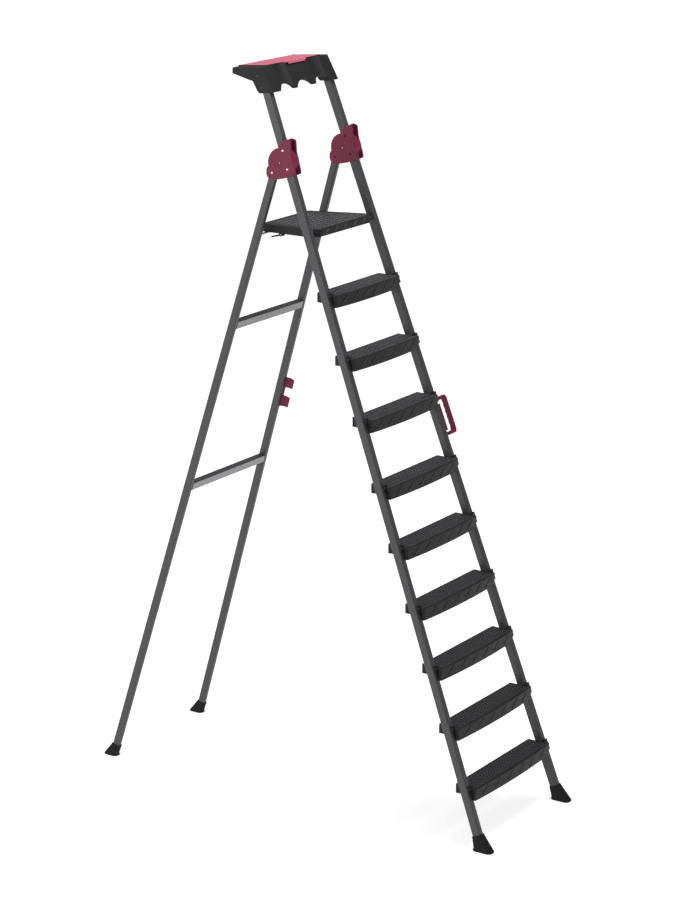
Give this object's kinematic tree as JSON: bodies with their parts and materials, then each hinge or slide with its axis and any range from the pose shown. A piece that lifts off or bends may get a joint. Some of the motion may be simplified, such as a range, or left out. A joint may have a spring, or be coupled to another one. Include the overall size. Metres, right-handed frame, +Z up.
{
  "type": "platform step ladder",
  "caption": "Tall folding step ladder with moulded treads, a small platform, a tool tray with a lid, hinged rear legs, carry handle and rubber feet",
  "frame": {"origin": "on the floor, in the middle of the four feet's footprint", "axes": "X across the ladder with the carry handle on +X, Y from the climbing side towards the rear legs, Z up"},
  "size_m": [0.672, 1.922, 2.9857],
  "materials": {
    "frame_paint": "satin dark grey powder coat",
    "black_plastic": "fine grained black moulding",
    "foot_rubber": "matt black",
    "burgundy_plastic": "satin moulded",
    "lid_plastic": "satin moulded",
    "bright_steel": "zinc plated"
  },
  "bodies": {
    "front_frame": {"front_rail_left": "frame_paint", "front_rail_right": "frame_paint", "front_foot_left": "foot_rubber", "front_foot_right": "foot_rubber", "tread_1": "black_plastic", "tread_2": "black_plastic", "tread_3": "black_plastic", "tread_4": "black_plastic", "tread_5": "black_plastic", "tread_6": "black_plastic", "tread_7": "black_plastic", "tread_8": "black_plastic", "tread_9": "black_plastic", "tread_rivets": "frame_paint", "tray_body": "black_plastic", "tray_screws": "frame_paint", "rail_end_plugs": "black_plastic", "tray_lid_pin": "bright_steel", "hinge_shell_outer_left": "burgundy_plastic", "hinge_shell_inner_left": "burgundy_plastic", "hinge_shell_outer_right": "burgundy_plastic", "hinge_shell_inner_right": "burgundy_plastic", "hinge_screws": "bright_steel", "hinge_pin_left": "bright_steel", "hinge_pin_right": "bright_steel", "hinge_stop_sleeves": "bright_steel", "platform_bolts": "bright_steel", "carry_handle": "burgundy_plastic", "handle_base_plate": "burgundy_plastic", "handle_screws": "bright_steel"},
    "rear_frame": {"rear_leg_left": "frame_paint", "rear_leg_right": "frame_paint", "hinge_block_left": "black_plastic", "hinge_block_right": "black_plastic", "rear_brace_upper": "frame_paint", "rear_brace_lower": "frame_paint", "brace_rivets": "bright_steel", "rear_foot_left": "foot_rubber", "rear_foot_right": "foot_rubber", "folding_clip": "burgundy_plastic", "clip_screws": "bright_steel", "platform_rest_rod": "bright_steel"},
    "platform": {"platform_deck": "black_plastic", "latch_pin": "bright_steel"},
    "latch": {"platform_latch": "black_plastic"},
    "lid": {"tray_lid": "lid_plastic"}
  },
  "joints": [
    {"name": "fold", "type": "hinge", "parent": "front_frame", "child": "rear_frame", "pos_m": [0, 0.0855, 2.617], "axis": [-1, 0, 0], "range_deg": [0, 36.9]},
    {"name": "platform_tilt", "type": "hinge", "parent": "front_frame", "child": "platform", "pos_m": [0, -0.035, 2.345], "axis": [1, 0, 0], "range_deg": [0, 68.9]},
    {"name": "latch_press", "type": "hinge", "parent": "platform", "child": "latch", "pos_m": [-0.176, 0.1207, 2.3207], "axis": [1, 0, 0], "range_deg": [0, 8], "stiffness_Nm_per_rad": 0.05},
    {"name": "lid_open", "type": "hinge", "parent": "front_frame", "child": "lid", "pos_m": [0, 0.309, 2.9733], "axis": [-1, 0, 0], "range_deg": [0, 100]}
  ],
  "couplings": [
    {"joint": "platform_tilt", "follows": "fold", "ratio": 1.865}
  ]
}
